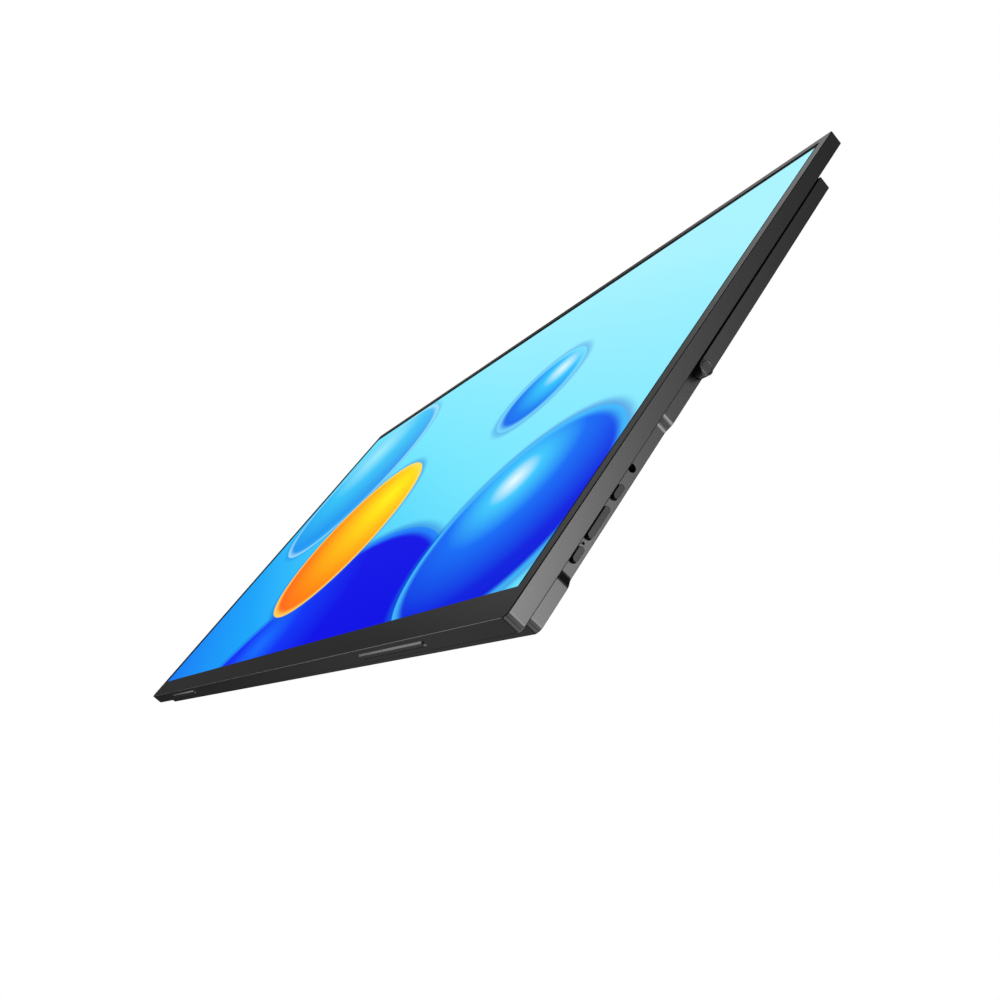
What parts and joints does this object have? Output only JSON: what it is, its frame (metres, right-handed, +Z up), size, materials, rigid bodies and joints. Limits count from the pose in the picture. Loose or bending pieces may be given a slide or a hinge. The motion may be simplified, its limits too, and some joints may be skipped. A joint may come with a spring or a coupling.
{
  "type": "portable monitor",
  "caption": "Thin flat screen with an electronics housing on the lower back, side ports and keys, and a U-shaped fold-out stand on friction hinges.",
  "frame": {"origin": "centre of the closed monitor in X and Y, on the plane that its rubber feet stand on", "axes": "+X to the right as seen from the front, +Y from the screen to the back, +Z up; the screen faces -Y"},
  "size_m": [0.5422, 0.0154, 0.3177],
  "materials": {
    "shell_plastic": "fine spark texture, charcoal",
    "stand_metal": "matte charcoal paint",
    "key_plastic": "satin charcoal",
    "screen_glass": "anti-glare polariser over a lit picture",
    "optical_film": "frosted film",
    "acrylic": "clear acrylic",
    "white_film": "white film",
    "sheet_steel": "zinc plated",
    "led_board": "phosphor domes on a white strip",
    "foam_tape": "closed-cell foam",
    "circuit_board": "green solder mask",
    "flex_film": "amber polyimide",
    "black_moulding": "glass-filled moulding",
    "port_nickel": "bright nickel plate",
    "brass": "turned",
    "switch_metal": "stamped cover",
    "light_pipe": "clear",
    "screw_steel": "zinc plated",
    "hinge_steel": "ground",
    "foot_rubber": "matt"
  },
  "bodies": {
    "monitor": {"front_frame": "shell_plastic", "rear_cover": "shell_plastic", "rear_housing": "shell_plastic", "lcd_cell": "screen_glass", "optical_films": "optical_film", "light_guide": "acrylic", "reflector": "white_film", "panel_tray": "sheet_steel", "led_strip": "led_board", "panel_tape": "foam_tape", "source_board": "circuit_board", "cell_flexes": "flex_film", "display_flex": "flex_film", "main_board": "circuit_board", "main_chip": "black_moulding", "shield_can": "sheet_steel", "video_port_shell": "port_nickel", "video_port_tongue": "black_moulding", "data_port_shells": "port_nickel", "data_port_tongues": "black_moulding", "mount_plate": "sheet_steel", "mount_inserts": "brass", "key_board": "circuit_board", "key_switches": "switch_metal", "key_flex": "flex_film", "rocker_fulcrum": "black_moulding", "status_light": "light_pipe", "headphone_jack": "black_moulding", "housing_screws": "screw_steel", "board_screws": "screw_steel", "hinge_screws": "screw_steel", "hinge_bracket_left": "hinge_steel", "hinge_bracket_right": "hinge_steel", "foot_left": "foot_rubber", "foot_right": "foot_rubber"},
    "stand": {"stand_frame": "stand_metal", "hinge_pin_left": "hinge_steel", "hinge_pin_right": "hinge_steel", "friction_washers": "screw_steel", "hinge_nuts": "screw_steel", "hinge_cap_left": "shell_plastic", "hinge_cap_right": "shell_plastic"},
    "power_body": {"power_key": "key_plastic"},
    "rocker_body": {"rocker_key": "key_plastic"},
    "back_body": {"back_key": "key_plastic"}
  },
  "joints": [
    {"name": "stand_fold", "type": "hinge", "parent": "monitor", "child": "stand", "pos_m": [0, 0.0042, 0.1432], "axis": [-1, 0, 0], "range_deg": [0, 150]},
    {"name": "power_press", "type": "slide", "parent": "monitor", "child": "power_body", "axis": [-1, 0, 0], "range_m": [0, 0.0004], "stiffness_N_per_m": 2000, "springref_m": -0.0002},
    {"name": "back_press", "type": "slide", "parent": "monitor", "child": "back_body", "axis": [-1, 0, 0], "range_m": [0, 0.0004], "stiffness_N_per_m": 2000, "springref_m": -0.0002},
    {"name": "rocker_tilt", "type": "hinge", "parent": "monitor", "child": "rocker_body", "pos_m": [0.2612, 0.0041, 0.0567], "axis": [0, 1, 0], "range_deg": [-2, 2], "stiffness_Nm_per_rad": 0.12}
  ]
}
